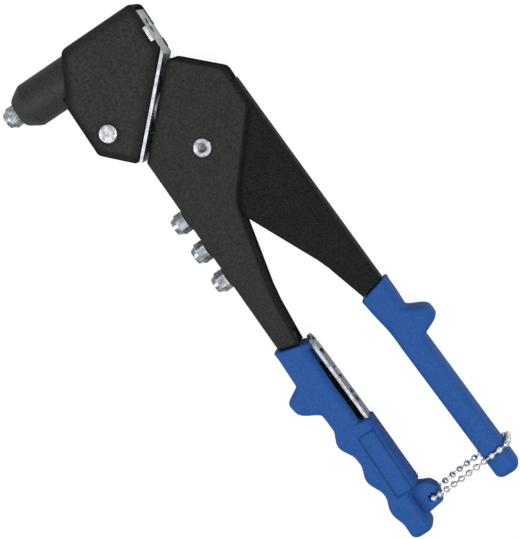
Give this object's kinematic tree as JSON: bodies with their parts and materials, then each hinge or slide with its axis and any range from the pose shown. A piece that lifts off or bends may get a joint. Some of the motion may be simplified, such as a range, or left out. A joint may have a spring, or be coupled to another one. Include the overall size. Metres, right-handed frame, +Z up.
{
  "type": "swivel-head hand riveter",
  "caption": "Hand riveter with a turning head, folded steel body and lever, soft blue grips, spare nosepieces on the handle and a bead chain that holds the handles closed.",
  "frame": {"origin": "middle of the part's box in plan, on the surface it lies on", "axes": "+X along the fixed handle from the head to the grip's end, +Z up through the tool's thickness, the nose points to -Y"},
  "size_m": [0.2908, 0.1235, 0.0279],
  "materials": {
    "black_powder_coat": "fine textured black powder coat on folded steel",
    "blue_pvc": "dip-moulded soft PVC, satin",
    "zinc_plate": "bright zinc plating",
    "nosepiece_steel": "turned and plated",
    "bead_chain": "nickel plated",
    "turned_steel": "turned, lightly oiled",
    "hard_steel": "hardened, dark",
    "spring_steel": "drawn wire"
  },
  "bodies": {
    "fixed_handle": {"body_frame": "black_powder_coat", "pivot_pin": "zinc_plate", "fixed_grip": "blue_pvc", "spanner": "zinc_plate", "spare_nosepiece_1": "nosepiece_steel", "spare_nosepiece_2": "nosepiece_steel", "spare_nosepiece_3": "nosepiece_steel", "swivel_washer": "zinc_plate", "click_balls": "turned_steel", "click_spring": "spring_steel"},
    "head": {"head_housing": "black_powder_coat", "head_plate": "zinc_plate", "barrel": "black_powder_coat", "nosepiece": "nosepiece_steel", "head_pin": "zinc_plate", "swivel_spindle": "turned_steel", "spindle_nut": "turned_steel", "jaw_spring": "spring_steel"},
    "lever": {"lever_frame": "black_powder_coat", "pivot_bush": "turned_steel", "lever_grip": "blue_pvc"},
    "pull_rod": {"pull_rod": "turned_steel", "rod_nut": "turned_steel"},
    "rocker": {"rocker": "hard_steel"},
    "jaws": {"jaw_case": "turned_steel", "jaw_holder": "turned_steel", "jaws": "hard_steel", "jaw_pusher": "turned_steel"},
    "chain": {"ball_chain": "bead_chain", "chain_connector": "bead_chain"}
  },
  "joints": [
    {"name": "lever_pivot", "type": "hinge", "parent": "fixed_handle", "child": "lever", "pos_m": [-0.06959, 0.01267, 0.01395], "axis": [0, 0, 1], "range_deg": [-3, 22]},
    {"name": "head_swivel", "type": "hinge", "parent": "fixed_handle", "child": "head", "pos_m": [-0.07949, 0.02257, 0.01395], "axis": [0.7071, 0.7071, 0], "continuous": true},
    {"name": "rod_slide", "type": "slide", "parent": "fixed_handle", "child": "pull_rod", "axis": [0.7071, 0.7071, 0], "range_m": [-0.0055, 0.0008]},
    {"name": "rocker_pivot", "type": "hinge", "parent": "head", "child": "rocker", "pos_m": [-0.09986, -0.02099, 0.01395], "axis": [0, 0, 1], "range_deg": [-3, 19]},
    {"name": "jaw_slide", "type": "slide", "parent": "head", "child": "jaws", "axis": [0, 1, 0], "range_m": [-0.0108, 0.0016], "deforming": ["jaw_spring"]},
    {"name": "chain_swing", "type": "hinge", "parent": "fixed_handle", "child": "chain", "pos_m": [0.13276, 0.01167, 0.01395], "axis": [0, 0, 1], "range_deg": [-80, 11], "deforming": ["ball_chain", "chain_connector"]}
  ],
  "couplings": [
    {"joint": "rod_slide", "follows": "lever_pivot", "m_per_rad": -0.014},
    {"joint": "rocker_pivot", "follows": "lever_pivot", "ratio": 0.85366},
    {"joint": "jaw_slide", "follows": "lever_pivot", "m_per_rad": -0.027744},
    {"joint": "chain_swing", "follows": "lever_pivot", "ratio": -3.5}
  ]
}
